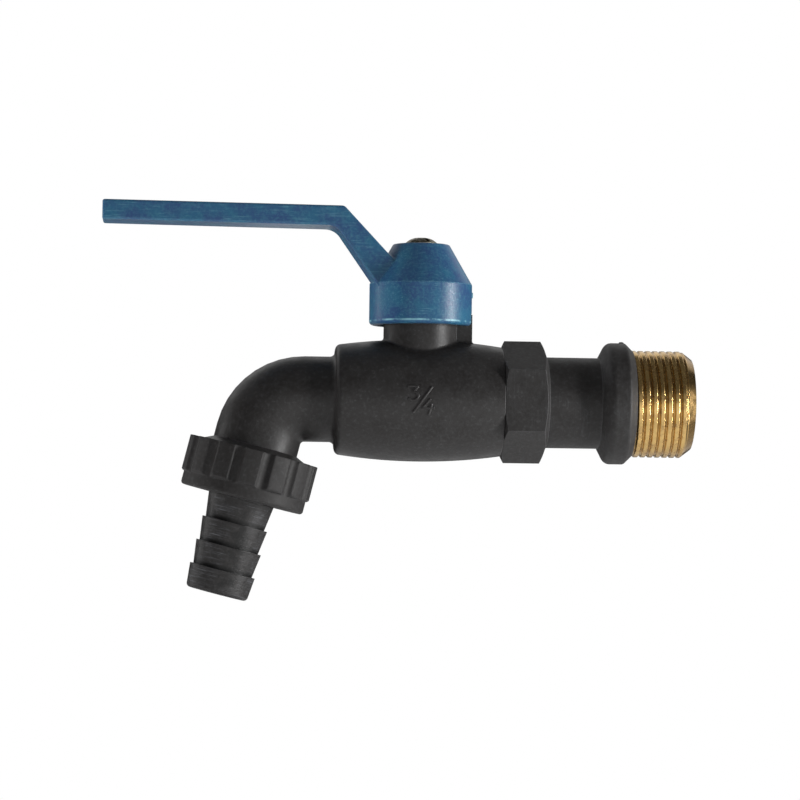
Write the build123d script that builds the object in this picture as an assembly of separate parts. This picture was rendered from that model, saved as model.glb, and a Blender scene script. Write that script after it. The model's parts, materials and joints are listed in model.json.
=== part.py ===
"""Quarter-turn garden tap: moulded ball valve, lever handle, brass inlet thread and hose union.

Millimetres, +Z up. The origin is on the inlet axis, at the shoulder of the brass thread.
+X runs out along the thread towards the pipe, and the spout is at -X.
The tap is open: the lever lies over the spout.
"""
import os
from math import cos, radians, sin, sqrt, tan

from build123d import *

# Brass inlet thread, G 3/4
INLET_THREAD_R = 13.22
INLET_THREAD_LENGTH = 14.7
INLET_THREAD_CHAMFER = 2.5
INLET_THREAD_CHAMFER_DEPTH = 1.9
INLET_BORE_R = 7.6
INSERT_SHANK_WALL = 1.8
INSERT_SHANK_LENGTH = 11.0
INSERT_KEY_STEP = 2.3
INSERT_KEY_WIDTH = 2.6
INSERT_KEY_SETBACK = 2.9
INSERT_KEY_SIDES = 8

# Plastic inlet connector: collar, tube, hexagon and spigot
COLLAR_WIDTH = 8.35
COLLAR_FRONT_TAPER = 1.85
COLLAR_FRONT_ROUND = 0.8
COLLAR_BACK_TAPER = 2.0
COLLAR_BACK_ROUND = 2.0
TUBE_WALL = 1.85
TUBE_LENGTH = 12.95
HEX_FLATS = 26.2
HEX_WIDTH = 11.2
HEX_TAPER = 1.4
HEX_CHAMFER = 0.8
SPIGOT_LEAD = 0.5

# Ball, seats and their cushions
BALL_R = 9.75
BALL_BORE_SHARE = 2 / 3
BALL_SLOT_WALL = 0.9
SEAT_BORE_STEP = 0.2
SEAT_LAND = 0.9
SEAT_LIP = 0.55
SEAT_THICKNESS = 3.4
SEAT_RUNNING_GAP = 0.05
SEAT_FIT = 0.05
CUSHION_SECTION_R = 0.8
CUSHION_SIDE_GAP = 0.05
CUSHION_LIP_LENGTH = 2.6

# Barrel of the body
MOUTH_STEP = 1.0
MOUTH_FIT = 0.05
MOUTH_WALL = 2.1
BARREL_BULGE = 1.55
BARREL_TO_SPOUT = 21.0
BARREL_TO_MOUTH = 20.1
BARREL_END_ROUND = 1.4
SPOUT_FILLET = 1.35
CONNECTOR_SEAL_SECTION_R = 0.9
CONNECTOR_SEAL_WALL = 1.0

# Stem
STEM_R = 4.5
STEM_RUNNING_GAP = 0.06
TANG_THICKNESS = 4.0
TANG_WIDTH = 9.0
TANG_SIDE_GAP = 0.1
TANG_END_GAP = 0.2
FLANGE_STEP = 1.3
FLANGE_THICKNESS = 2.0
FLANGE_TO_CHAMBER = 0.2
FLANGE_SIDE_GAP = 0.2
THRUST_WASHER_THICKNESS = 0.8
THRUST_GAP = 0.1
STEM_BEARING_LENGTH = 9.1
STEM_SEAL_SECTION_R = 0.7
STEM_SEAL_SETBACK = 2.7
STEM_SEAL_PITCH = 3.4
SEAL_SIDE_GAP = 0.1
STEM_SQUARE = 6.0
SQUARE_FIT = 0.05

# Neck and stop lug
NECK_WALL = 3.1
NECK_FILLET = 0.7
LUG_WIDTH = 5.0
LUG_ENGAGEMENT = 2.8
LUG_GAP = 0.3

# Handle: bell hub and lever
HUB_GAP = 1.2
HUB_WALL = 2.4
HUB_OVERLAP = 4.0
HUB_SKIRT_HEIGHT = 10.15
HUB_CONE_HEIGHT = 9.95
HUB_TOP_R = 6.95
HUB_RIM_ROUND = 1.0
HUB_TOP_ROUND = 0.5
HUB_CORE_WALL = 2.0
HUB_CORE_RISE = 3.0
HUB_CORE_CLEARANCE = 0.4
HUB_CAP = 2.7
GATE_R = 0.7
GATE_HEIGHT = 0.25
GATE_DROP = 2.4
LEVER_TIP_REACH = 78.7
LEVER_TIP_HEIGHT = 29.4
LEVER_BEND_REACH = 19.5
LEVER_BEND_HEIGHT = 28.9
LEVER_THICKNESS = 4.9
LEVER_TIP_WIDTH = 13.0
LEVER_HUB_WIDTH = 13.6
LEVER_TIP_ROUND = 0.8
LEVER_EDGE_ROUND = 0.5
LEVER_BEND_ROUND = 1.5
LEVER_CROOK_ROUND = 4.5
ARM_TOP_ANGLE = 46.6
ARM_UNDER_ANGLE = 55.0
ARM_CROOK_SETBACK = 1.8
ARM_ROOT_REACH = 5.0
ARM_ROOT_ROUND = 0.4

# Handle screw
SCREW_R = 2.0
SCREW_LENGTH = 12.0
SCREW_HEAD_R = 3.9
SCREW_HEAD_HEIGHT = 1.6
SCREW_HEAD_RIM = 0.4
SCREW_SLOT_WIDTH = 1.1
SCREW_SLOT_DEPTH = 0.9
SCREW_SLOT_TURN = 25.0
SCREW_HOLE_FIT = 0.2
SCREW_THREAD_FIT = 0.02
SCREW_TIP_ROOM = 1.2

# Spout elbow and its outlet thread
SPOUT_BORE_R = 7.56
SPOUT_WALL = 3.0
SPOUT_REACH = 37.4
OUTLET_TILT = 14.0
BEND_CROOK_R = 0.9
OUTLET_STRAIGHT = 3.3
OUTLET_THREAD_STEP = 2.64
OUTLET_SHOULDER = 1.2
OUTLET_THREAD_LENGTH = 5.85
OUTLET_MOUTH_R = 9.6

# Union nut, hose washer and hose tail
NUT_FIT = 0.2
NUT_WALL = 2.8
NUT_FLOOR = 2.4
NUT_RING_HEIGHT = 3.35
NUT_RING_STEP = 0.75
NUT_RIM_ROUND = 0.8
NUT_FLUTES = 14
NUT_FLUTE_R = 1.9
NUT_FLUTE_DEPTH = 0.85
NUT_RIB_CHAMFER = 0.4
NUT_TAIL_GAP = 0.25
NUT_AXIAL_GAP = 0.1
HOSE_WASHER_THICKNESS = 2.0
HOSE_WASHER_GAP = 0.05
TAIL_FLANGE_GAP = 0.8
TAIL_FLANGE_THICKNESS = 1.8
TAIL_BORE_R = 5.5
TAIL_BARBS = 4
TAIL_BARB_PITCH = 5.93
TAIL_BARB_TOP_R = 8.2
TAIL_BARB_FOOT_R = 7.4
TAIL_END_R = 7.65
TAIL_END_ROUND = 1.0
TAIL_NUT_GAP = 0.3

# How near an edge must lie to its computed place to be picked
EDGE_MATCH = 0.01

# Radii that follow from the ball outwards
BALL_BORE_R = BALL_R * BALL_BORE_SHARE
SEAT_BORE_R = BALL_BORE_R + SEAT_BORE_STEP
SEAT_R = BALL_R + SEAT_LIP
CHAMBER_R = SEAT_R + SEAT_FIT
SPIGOT_R = CHAMBER_R + MOUTH_STEP
MOUTH_R = SPIGOT_R + MOUTH_FIT
BARREL_END_R = MOUTH_R + MOUTH_WALL
BARREL_MID_R = BARREL_END_R + BARREL_BULGE
COLLAR_R = BARREL_MID_R
CUSHION_R = (SEAT_BORE_R + SEAT_R) / 2 + CUSHION_SIDE_GAP
TUBE_R = INLET_BORE_R + INSERT_SHANK_WALL + TUBE_WALL
INSERT_SHANK_R = INLET_BORE_R + INSERT_SHANK_WALL
INSERT_KEY_R = INSERT_SHANK_R + INSERT_KEY_STEP
FLANGE_R = STEM_R + FLANGE_STEP
POCKET_R = FLANGE_R + FLANGE_SIDE_GAP
STEM_BORE_R = STEM_R + STEM_RUNNING_GAP
NECK_R = POCKET_R + NECK_WALL
HUB_INNER_R = NECK_R + HUB_GAP
HUB_R = HUB_INNER_R + HUB_WALL
HUB_CORE_R = STEM_SQUARE / sqrt(2) + HUB_CORE_WALL
SPOUT_R = SPOUT_BORE_R + SPOUT_WALL
OUTLET_THREAD_R = SPOUT_R + OUTLET_THREAD_STEP
NUT_BORE_R = OUTLET_THREAD_R + NUT_FIT
NUT_R = NUT_BORE_R + NUT_WALL
TAIL_FLANGE_R = NUT_BORE_R - TAIL_FLANGE_GAP
NUT_HOLE_R = TAIL_BARB_TOP_R + NUT_TAIL_GAP

# Distances of the seat's faces from the centre of the ball
SEAT_FRONT = sqrt(BALL_R ** 2 - (SEAT_BORE_R + SEAT_LAND) ** 2)
SEAT_BACK = SEAT_FRONT + SEAT_THICKNESS

# Stations along the inlet axis
COLLAR_BACK_X = -COLLAR_WIDTH
HEX_FRONT_X = COLLAR_BACK_X - TUBE_LENGTH
HEX_BACK_X = HEX_FRONT_X - HEX_WIDTH
STEM_X = HEX_BACK_X - BARREL_TO_MOUTH
SPIGOT_END_X = STEM_X + SEAT_BACK
SHOULDER_X = STEM_X - SEAT_BACK
BARREL_END_X = STEM_X - BARREL_TO_SPOUT
CONNECTOR_SEAL_HALF = CONNECTOR_SEAL_SECTION_R + SEAL_SIDE_GAP
CONNECTOR_SEAL_X = SPIGOT_END_X + 2 * CUSHION_SECTION_R + CONNECTOR_SEAL_WALL + CONNECTOR_SEAL_HALF

# Heights along the stem axis
SLOT_FLOOR_Z = BALL_BORE_R + BALL_SLOT_WALL
TANG_FOOT_Z = SLOT_FLOOR_Z + TANG_END_GAP
FLANGE_Z = CHAMBER_R + FLANGE_TO_CHAMBER
FLANGE_TOP_Z = FLANGE_Z + FLANGE_THICKNESS
POCKET_TOP_Z = FLANGE_TOP_Z + THRUST_WASHER_THICKNESS + THRUST_GAP
NECK_TOP_Z = POCKET_TOP_Z + STEM_BEARING_LENGTH
HUB_BOTTOM_Z = NECK_TOP_Z - HUB_OVERLAP
HUB_SHOULDER_Z = HUB_BOTTOM_Z + HUB_SKIRT_HEIGHT
HUB_TOP_Z = HUB_SHOULDER_Z + HUB_CONE_HEIGHT
STEM_TOP_Z = HUB_TOP_Z - HUB_CAP
LUG_TOP_Z = HUB_BOTTOM_Z + LUG_ENGAGEMENT
SEAL_HEIGHTS = [POCKET_TOP_Z + STEM_SEAL_SETBACK + i * STEM_SEAL_PITCH for i in range(2)]

# Spout bend: the outlet axis starts where the two centre lines cross
BEND_R = SPOUT_R + BEND_CROOK_R
BEND_TURN = 90.0 - OUTLET_TILT
BEND_RUN = BEND_R * tan(radians(BEND_TURN / 2))
BEND_X = STEM_X - SPOUT_REACH
OUTLET_DIRECTION = Vector(-sin(radians(OUTLET_TILT)), 0, -cos(radians(OUTLET_TILT)))

# Stations along the outlet axis
OUTLET_STEP_S = BEND_RUN + OUTLET_STRAIGHT
NUT_TOP_S = OUTLET_STEP_S + OUTLET_SHOULDER
OUTLET_END_S = NUT_TOP_S + OUTLET_THREAD_LENGTH
WASHER_S = OUTLET_END_S + HOSE_WASHER_GAP
TAIL_TOP_S = WASHER_S + HOSE_WASHER_THICKNESS
TAIL_SEAT_S = TAIL_TOP_S + TAIL_FLANGE_THICKNESS
NUT_SEAT_S = TAIL_SEAT_S + NUT_AXIAL_GAP
NUT_BOTTOM_S = NUT_SEAT_S + NUT_FLOOR
BARB_TOP_S = NUT_BOTTOM_S + TAIL_NUT_GAP
TAIL_END_S = BARB_TOP_S + TAIL_BARBS * TAIL_BARB_PITCH

# Frames whose own Z runs along the inlet axis, the stem axis and the outlet axis
INLET = Plane(origin=(0, 0, 0), x_dir=(0, 0, 1), z_dir=(1, 0, 0))
STEM = Plane(origin=(STEM_X, 0, 0), x_dir=(1, 0, 0), z_dir=(0, 0, 1))
OUTLET = Plane(origin=(BEND_X, 0, 0), x_dir=(0, 1, 0), z_dir=OUTLET_DIRECTION)


def turned(outline):
    """Solid of revolution about Z from (radius, height) corners."""
    corners = [(radius, 0, height) for radius, height in outline]
    return revolve(make_face(Polyline(*corners, close=True)), Axis.Z)


def ring(outer, inner, low, high):
    """Plain ring about Z between two heights."""
    return turned([(inner, low), (outer, low), (outer, high), (inner, high)])


def rod(radius, low, high):
    """Plain rod about Z between two heights."""
    return Pos(0, 0, low) * Cylinder(radius, high - low, align=(Align.CENTER, Align.CENTER, Align.MIN))


def o_ring(radius, section_r, height):
    """Rubber ring about Z, round in section."""
    return Pos(0, 0, height) * Torus(radius, section_r)


def block(x_low, x_high, y_low, y_high, z_low, z_high):
    """Box between two corners."""
    box = Box(x_high - x_low, y_high - y_low, z_high - z_low, align=(Align.MIN, Align.MIN, Align.MIN))
    return Pos(x_low, y_low, z_low) * box


def spout_rod(radius, start_x, end_s):
    """Round bar along the spout's centre line, from start_x to end_s on the outlet axis."""
    bend_start = Vector(BEND_X + BEND_RUN, 0, 0)
    bend_end = Vector(BEND_X, 0, 0) + OUTLET_DIRECTION * BEND_RUN
    run = Line((start_x, 0, 0), bend_start)
    bend = TangentArc(bend_start, bend_end, tangent=(-1, 0, 0))
    drop = Line(bend_end, Vector(BEND_X, 0, 0) + OUTLET_DIRECTION * end_s)
    section = Plane(origin=(start_x, 0, 0), z_dir=(-1, 0, 0)) * Circle(radius)
    return sweep(section, path=run + bend + drop)


def barrel():
    """Barrel with its slight bulge, rounded where it meets the spout."""
    foot = BARREL_END_X
    mouth = HEX_BACK_X
    bulge = ThreePointArc(
        (BARREL_END_R, 0, foot), (BARREL_MID_R, 0, STEM_X), (BARREL_END_R, 0, mouth)
    )
    closing = Polyline((BARREL_END_R, 0, mouth), (0, 0, mouth), (0, 0, foot), (BARREL_END_R, 0, foot))
    solid = revolve(make_face(bulge + closing), Axis.Z)
    spout_side = solid.edges().filter_by(GeomType.CIRCLE).group_by(Axis.Z)[0]
    return INLET * fillet(spout_side, BARREL_END_ROUND)


def neck():
    """Neck round the stem, with the stop lug on its inlet side."""
    post = rod(NECK_R, 0, NECK_TOP_Z)
    lug = block(0, HUB_R, -LUG_WIDTH / 2, LUG_WIDTH / 2, 0, LUG_TOP_Z)
    return STEM * (post + lug)


def seal_groove(radius, section_r, height):
    """Square groove about Z that holds a round seal."""
    half = section_r + CUSHION_SIDE_GAP
    return ring(radius + half, radius - half, height, height + 2 * section_r)


def make_body():
    """Moulded body: barrel, neck, lug, spout elbow and outlet thread."""
    shell = barrel() + neck()
    foot = shell.edges().filter_by(
        lambda e: e.geom_type in (GeomType.BSPLINE, GeomType.OTHER) and e.center().Z > MOUTH_R
    )
    shell = fillet(foot, NECK_FILLET)
    shell += spout_rod(SPOUT_R, STEM_X, OUTLET_END_S)
    root = shell.edges().filter_by(GeomType.CIRCLE).filter_by(
        lambda e: abs(e.radius - SPOUT_R) < EDGE_MATCH and abs(e.center().X - BARREL_END_X) < EDGE_MATCH
    )
    shell = fillet(root, SPOUT_FILLET)
    shell += OUTLET * turned([
        (0, OUTLET_STEP_S), (SPOUT_R, OUTLET_STEP_S), (OUTLET_THREAD_R, NUT_TOP_S),
        (OUTLET_THREAD_R, OUTLET_END_S), (0, OUTLET_END_S),
    ])
    chamber = INLET * rod(CHAMBER_R, SHOULDER_X, SPIGOT_END_X)
    mouth = INLET * rod(MOUTH_R, SPIGOT_END_X, HEX_BACK_X)
    seat_lip = INLET * rod(SEAT_BORE_R, SHOULDER_X - CUSHION_LIP_LENGTH, SHOULDER_X)
    cushion_depth = SHOULDER_X - 2 * CUSHION_SECTION_R
    cushion = INLET * seal_groove(CUSHION_R, CUSHION_SECTION_R, cushion_depth)
    waterway = spout_rod(SPOUT_BORE_R, SHOULDER_X - CUSHION_LIP_LENGTH, OUTLET_END_S)
    flare = OUTLET_MOUTH_R - SPOUT_BORE_R
    outlet_mouth = OUTLET * turned([
        (0, NUT_TOP_S - flare), (SPOUT_BORE_R, NUT_TOP_S - flare), (OUTLET_MOUTH_R, NUT_TOP_S),
        (OUTLET_MOUTH_R, OUTLET_END_S), (0, OUTLET_END_S),
    ])
    pocket = STEM * rod(POCKET_R, 0, POCKET_TOP_Z)
    stem_bore = STEM * rod(STEM_BORE_R, 0, NECK_TOP_Z)
    return shell - chamber - mouth - seat_lip - cushion - waterway - outlet_mouth - pocket - stem_bore


def insert_key():
    """Many-sided flange that keys the brass insert into the collar."""
    side = RegularPolygon(INSERT_KEY_R, INSERT_KEY_SIDES)
    return Pos(0, 0, -INSERT_KEY_SETBACK - INSERT_KEY_WIDTH) * extrude(side, INSERT_KEY_WIDTH)


def make_inlet_thread():
    """Brass insert: male thread outside, keyed shank inside the collar."""
    tip = INLET_THREAD_LENGTH
    thread = turned([
        (0, 0), (INLET_THREAD_R, 0), (INLET_THREAD_R, tip - INLET_THREAD_CHAMFER),
        (INLET_THREAD_R - INLET_THREAD_CHAMFER_DEPTH, tip), (0, tip),
    ])
    shank = rod(INSERT_SHANK_R, -INSERT_SHANK_LENGTH, 0)
    bore = rod(INLET_BORE_R, -INSERT_SHANK_LENGTH, tip)
    return INLET * (thread + shank + insert_key() - bore)


def hexagon():
    """Spanner hexagon, points up, with turned ends."""
    corner_r = HEX_FLATS / sqrt(3)
    prism = Pos(0, 0, HEX_BACK_X) * extrude(RegularPolygon(corner_r, 6), HEX_WIDTH)
    turned_ends = turned([
        (0, HEX_BACK_X), (HEX_FLATS / 2, HEX_BACK_X),
        (corner_r, HEX_BACK_X + HEX_CHAMFER), (corner_r, HEX_FRONT_X - HEX_TAPER),
        (TUBE_R, HEX_FRONT_X), (0, HEX_FRONT_X),
    ])
    return prism & turned_ends


def tube_and_collar():
    """Tube and collar, turned as one, with the collar's two shoulders rounded."""
    profile = make_face(Polyline(
        (0, 0, HEX_FRONT_X), (TUBE_R, 0, HEX_FRONT_X), (TUBE_R, 0, COLLAR_BACK_X),
        (COLLAR_R, 0, COLLAR_BACK_X + COLLAR_BACK_TAPER), (COLLAR_R, 0, -COLLAR_FRONT_TAPER),
        (INLET_THREAD_R, 0, 0), (0, 0, 0), close=True,
    ))
    profile = fillet(profile.vertices().group_by(Axis.X)[-1].sort_by(Axis.Z)[0], COLLAR_BACK_ROUND)
    profile = fillet(profile.vertices().group_by(Axis.X)[-1].sort_by(Axis.Z)[-1], COLLAR_FRONT_ROUND)
    return revolve(profile, Axis.Z)


def make_inlet_connector():
    """Plastic connector: spigot, hexagon, tube and collar."""
    spigot = turned([
        (0, SPIGOT_END_X), (SPIGOT_R - SPIGOT_LEAD, SPIGOT_END_X),
        (SPIGOT_R, SPIGOT_END_X + SPIGOT_LEAD), (SPIGOT_R, HEX_BACK_X), (0, HEX_BACK_X),
    ])
    solid = tube_and_collar() + hexagon() + spigot
    bore_start = SPIGOT_END_X + CUSHION_LIP_LENGTH
    solid -= rod(SEAT_BORE_R, SPIGOT_END_X, bore_start)
    solid -= rod(INLET_BORE_R, bore_start, -INSERT_SHANK_LENGTH)
    solid -= rod(INSERT_SHANK_R, -INSERT_SHANK_LENGTH, 0)
    solid -= insert_key()
    solid -= seal_groove(CUSHION_R, CUSHION_SECTION_R, SPIGOT_END_X)
    groove_r = SPIGOT_R - 2 * CONNECTOR_SEAL_SECTION_R
    groove_start = CONNECTOR_SEAL_X - CONNECTOR_SEAL_HALF
    solid -= ring(SPIGOT_R, groove_r, groove_start, CONNECTOR_SEAL_X + CONNECTOR_SEAL_HALF)
    return INLET * solid


def make_connector_seal():
    """O-ring in the groove of the connector's spigot."""
    radius = SPIGOT_R - CONNECTOR_SEAL_SECTION_R
    return INLET * o_ring(radius, CONNECTOR_SEAL_SECTION_R, CONNECTOR_SEAL_X)


def make_seat(side):
    """Seat ring with a hollow face that follows the ball; side is +1 for the inlet."""
    blank = ring(SEAT_R, SEAT_BORE_R, SEAT_FRONT, SEAT_BACK) - Sphere(BALL_R + SEAT_RUNNING_GAP)
    face = Plane(origin=(STEM_X, 0, 0), x_dir=(0, 0, 1), z_dir=(side, 0, 0))
    return face * blank


def make_cushion(side):
    """O-ring behind a seat; side is +1 for the inlet."""
    face = Plane(origin=(STEM_X, 0, 0), x_dir=(0, 0, 1), z_dir=(side, 0, 0))
    return face * o_ring(CUSHION_R, CUSHION_SECTION_R, SEAT_BACK + CUSHION_SECTION_R)


def make_ball():
    """Ball with its bore along the barrel and the drive slot across its top."""
    half_slot = TANG_THICKNESS / 2 + TANG_SIDE_GAP
    slot = block(-half_slot, half_slot, -BALL_R, BALL_R, SLOT_FLOOR_Z, BALL_R)
    bore = Rot(0, 90, 0) * Cylinder(BALL_BORE_R, 2 * BALL_R)
    return STEM * (Sphere(BALL_R) - bore - slot)


def make_stem():
    """Stem: tang in the ball, flange under the neck, seal grooves, square for the handle."""
    half_tang = TANG_THICKNESS / 2
    tang = block(-half_tang, half_tang, -TANG_WIDTH / 2, TANG_WIDTH / 2, TANG_FOOT_Z, FLANGE_Z)
    flange = rod(FLANGE_R, FLANGE_Z, FLANGE_TOP_Z)
    shaft = rod(STEM_R, FLANGE_TOP_Z, NECK_TOP_Z)
    half_square = STEM_SQUARE / 2
    square = block(-half_square, half_square, -half_square, half_square, NECK_TOP_Z, STEM_TOP_Z)
    solid = tang + flange + shaft + square
    groove_r = STEM_R - 2 * STEM_SEAL_SECTION_R
    half_groove = STEM_SEAL_SECTION_R + SEAL_SIDE_GAP
    for height in SEAL_HEIGHTS:
        solid -= ring(STEM_R, groove_r, height - half_groove, height + half_groove)
    hole_foot = HUB_TOP_Z - SCREW_LENGTH - SCREW_TIP_ROOM
    solid -= rod(SCREW_R + SCREW_THREAD_FIT, hole_foot, STEM_TOP_Z)
    return STEM * solid


def make_stem_seal(height):
    """O-ring in a groove of the stem."""
    return STEM * o_ring(STEM_R - STEM_SEAL_SECTION_R, STEM_SEAL_SECTION_R, height)


def make_thrust_washer():
    """Low-friction washer between the stem's flange and the neck."""
    top = FLANGE_TOP_Z + THRUST_WASHER_THICKNESS
    return STEM * ring(FLANGE_R, STEM_R + STEM_RUNNING_GAP, FLANGE_TOP_Z, top)


def lever_bar():
    """Bent lever with its arm, seen from the side, then trimmed to its plan."""
    tip_x = -LEVER_TIP_REACH
    tip_z = HUB_BOTTOM_Z + LEVER_TIP_HEIGHT
    bend_x = -LEVER_BEND_REACH
    bend_z = HUB_BOTTOM_Z + LEVER_BEND_HEIGHT
    top_slope = tan(radians(ARM_TOP_ANGLE))
    under_slope = tan(radians(ARM_UNDER_ANGLE))
    # The underside turns down a little further out than the top
    crook_x = bend_x - ARM_CROOK_SETBACK
    crook_z = bend_z - LEVER_THICKNESS
    root_x = -ARM_ROOT_REACH
    side = Polyline(
        (tip_x, 0, tip_z),
        (bend_x, 0, bend_z),
        (root_x, 0, bend_z - (root_x - bend_x) * top_slope),
        (root_x, 0, crook_z - (root_x - crook_x) * under_slope),
        (crook_x, 0, crook_z),
        (tip_x, 0, tip_z - LEVER_THICKNESS),
        close=True,
    )
    bar = extrude(make_face(side), LEVER_HUB_WIDTH / 2, dir=(0, 1, 0), both=True)
    bend = bar.edges().filter_by(Axis.Y).sort_by_distance((bend_x, 0, bend_z))[0]
    bar = fillet(bend, LEVER_BEND_ROUND)
    crook = bar.edges().filter_by(Axis.Y).sort_by_distance((crook_x, 0, crook_z))[0]
    bar = fillet(crook, LEVER_CROOK_ROUND)
    half_tip = LEVER_TIP_WIDTH / 2
    half_hub = LEVER_HUB_WIDTH / 2
    plan = make_face(Polyline(
        (tip_x, -half_tip), (bend_x, -half_hub), (0, -half_hub),
        (0, half_hub), (bend_x, half_hub), (tip_x, half_tip), close=True,
    ))
    plan = fillet(plan.vertices().group_by(Axis.X)[0], LEVER_TIP_ROUND)
    bar = bar & extrude(plan, tip_z + LEVER_THICKNESS)
    outline = bar.edges().filter_by(Axis.Y, reverse=True).filter_by(Axis.Z, reverse=True)
    return fillet(outline, LEVER_EDGE_ROUND)


def make_handle():
    """Handle: cored bell hub, lever and the notch that meets the stop lug."""
    bell = turned([
        (0, HUB_BOTTOM_Z), (HUB_R, HUB_BOTTOM_Z), (HUB_R, HUB_SHOULDER_Z),
        (HUB_TOP_R, HUB_TOP_Z), (0, HUB_TOP_Z),
    ])
    rims = bell.edges().filter_by(GeomType.CIRCLE)
    bell = fillet(rims.group_by(Axis.Z)[0], HUB_RIM_ROUND)
    bell = fillet(bell.edges().filter_by(GeomType.CIRCLE).group_by(Axis.Z)[-1], HUB_TOP_ROUND)
    gate = Pos(HUB_R - GATE_HEIGHT, 0, HUB_SHOULDER_Z - GATE_DROP) * Rot(0, 90, 0) * Cylinder(
        GATE_R, 2 * GATE_HEIGHT, align=(Align.CENTER, Align.CENTER, Align.MIN)
    )
    bar = lever_bar()
    solid = bell + bar
    solid = fillet(new_edges(bell, bar, combined=solid), ARM_ROOT_ROUND) + gate
    taper = (HUB_R - HUB_TOP_R) / HUB_CONE_HEIGHT
    core_top_z = HUB_SHOULDER_Z + HUB_CORE_RISE
    core_top_r = HUB_INNER_R - HUB_CORE_RISE * taper
    solid -= turned([
        (HUB_CORE_R, HUB_BOTTOM_Z), (HUB_INNER_R, HUB_BOTTOM_Z), (HUB_INNER_R, HUB_SHOULDER_Z),
        (core_top_r, core_top_z), (HUB_CORE_R, core_top_z),
    ])
    solid -= rod(HUB_CORE_R, HUB_BOTTOM_Z, NECK_TOP_Z + HUB_CORE_CLEARANCE)
    half_square = STEM_SQUARE / 2 + SQUARE_FIT
    solid -= block(-half_square, half_square, -half_square, half_square, HUB_BOTTOM_Z, STEM_TOP_Z)
    solid -= rod(SCREW_R + SCREW_HOLE_FIT, STEM_TOP_Z, HUB_TOP_Z)
    side = LUG_WIDTH / 2 + LUG_GAP
    notch_top = LUG_TOP_Z + LUG_GAP
    outside = HUB_R + LUG_GAP
    solid -= block(0, outside, -side, outside, HUB_BOTTOM_Z, notch_top)
    solid -= block(-side, 0, 0, outside, HUB_BOTTOM_Z, notch_top)
    return STEM * solid


def make_handle_screw():
    """Slotted pan-head screw."""
    dome = ThreePointArc(
        (SCREW_HEAD_R, 0, SCREW_HEAD_RIM),
        (SCREW_HEAD_R * sin(radians(45)), 0,
         SCREW_HEAD_RIM + (SCREW_HEAD_HEIGHT - SCREW_HEAD_RIM) * sin(radians(45))),
        (0, 0, SCREW_HEAD_HEIGHT),
    )
    base = Polyline(
        (0, 0, SCREW_HEAD_HEIGHT), (0, 0, 0), (SCREW_HEAD_R, 0, 0), (SCREW_HEAD_R, 0, SCREW_HEAD_RIM)
    )
    head = revolve(make_face(dome + base), Axis.Z)
    half_slot = SCREW_SLOT_WIDTH / 2
    slot = Rot(0, 0, SCREW_SLOT_TURN) * block(
        -half_slot, half_slot, -SCREW_HEAD_R, SCREW_HEAD_R,
        SCREW_HEAD_HEIGHT - SCREW_SLOT_DEPTH, SCREW_HEAD_HEIGHT,
    )
    shank = rod(SCREW_R, -SCREW_LENGTH, 0)
    return STEM * Pos(0, 0, HUB_TOP_Z) * (head - slot + shank)


def make_union_nut():
    """Union nut: fluted grip above a plain ring."""
    ring_top = NUT_BOTTOM_S - NUT_RING_HEIGHT
    ring_r = NUT_R - NUT_RING_STEP
    blank = turned([
        (0, NUT_TOP_S), (NUT_R, NUT_TOP_S), (NUT_R, ring_top - NUT_RIB_CHAMFER),
        (NUT_R - NUT_RIB_CHAMFER, ring_top), (ring_r, ring_top), (ring_r, NUT_BOTTOM_S), (0, NUT_BOTTOM_S),
    ])
    blank = fillet(blank.edges().filter_by(GeomType.CIRCLE).group_by(Axis.Z)[-1], NUT_RIM_ROUND)
    flute = Pos(NUT_R - NUT_FLUTE_DEPTH + NUT_FLUTE_R, 0, 0) * rod(NUT_FLUTE_R, NUT_TOP_S, ring_top)
    for i in range(NUT_FLUTES):
        blank -= Rot(0, 0, 360 / NUT_FLUTES * (i + 0.5)) * flute
    blank -= rod(NUT_BORE_R, NUT_TOP_S, NUT_SEAT_S)
    blank -= rod(NUT_HOLE_R, NUT_SEAT_S, NUT_BOTTOM_S)
    return OUTLET * blank


def make_hose_washer():
    """Flat rubber washer between the spout and the tail's flange."""
    return OUTLET * ring(TAIL_FLANGE_R, TAIL_BORE_R, WASHER_S, TAIL_TOP_S)


def make_hose_tail():
    """Hose tail: flange held by the nut, then the barbs."""
    outline = [
        (TAIL_BORE_R, TAIL_TOP_S), (TAIL_FLANGE_R, TAIL_TOP_S), (TAIL_FLANGE_R, TAIL_SEAT_S),
        (TAIL_BARB_TOP_R, TAIL_SEAT_S),
    ]
    for i in range(TAIL_BARBS):
        top = BARB_TOP_S + i * TAIL_BARB_PITCH
        outline.append((TAIL_BARB_TOP_R, top))
        if i < TAIL_BARBS - 1:
            outline.append((TAIL_BARB_FOOT_R, top + TAIL_BARB_PITCH))
    outline.append((TAIL_END_R, TAIL_END_S))
    outline.append((TAIL_BORE_R, TAIL_END_S))
    tail = turned(outline)
    end = tail.edges().filter_by(GeomType.CIRCLE).group_by(Axis.Z)[-1].sort_by(SortBy.RADIUS)[-1]
    return OUTLET * fillet(end, TAIL_END_ROUND)


PIECES = {
    "body": make_body(),
    "inlet_connector": make_inlet_connector(),
    "inlet_thread": make_inlet_thread(),
    "connector_seal": make_connector_seal(),
    "inlet_seat": make_seat(1),
    "outlet_seat": make_seat(-1),
    "inlet_seat_cushion": make_cushion(1),
    "outlet_seat_cushion": make_cushion(-1),
    "ball": make_ball(),
    "stem": make_stem(),
    "stem_thrust_washer": make_thrust_washer(),
    "lower_stem_seal": make_stem_seal(SEAL_HEIGHTS[0]),
    "upper_stem_seal": make_stem_seal(SEAL_HEIGHTS[1]),
    "handle": make_handle(),
    "handle_screw": make_handle_screw(),
    "union_nut": make_union_nut(),
    "hose_washer": make_hose_washer(),
    "hose_tail": make_hose_tail(),
}

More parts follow.
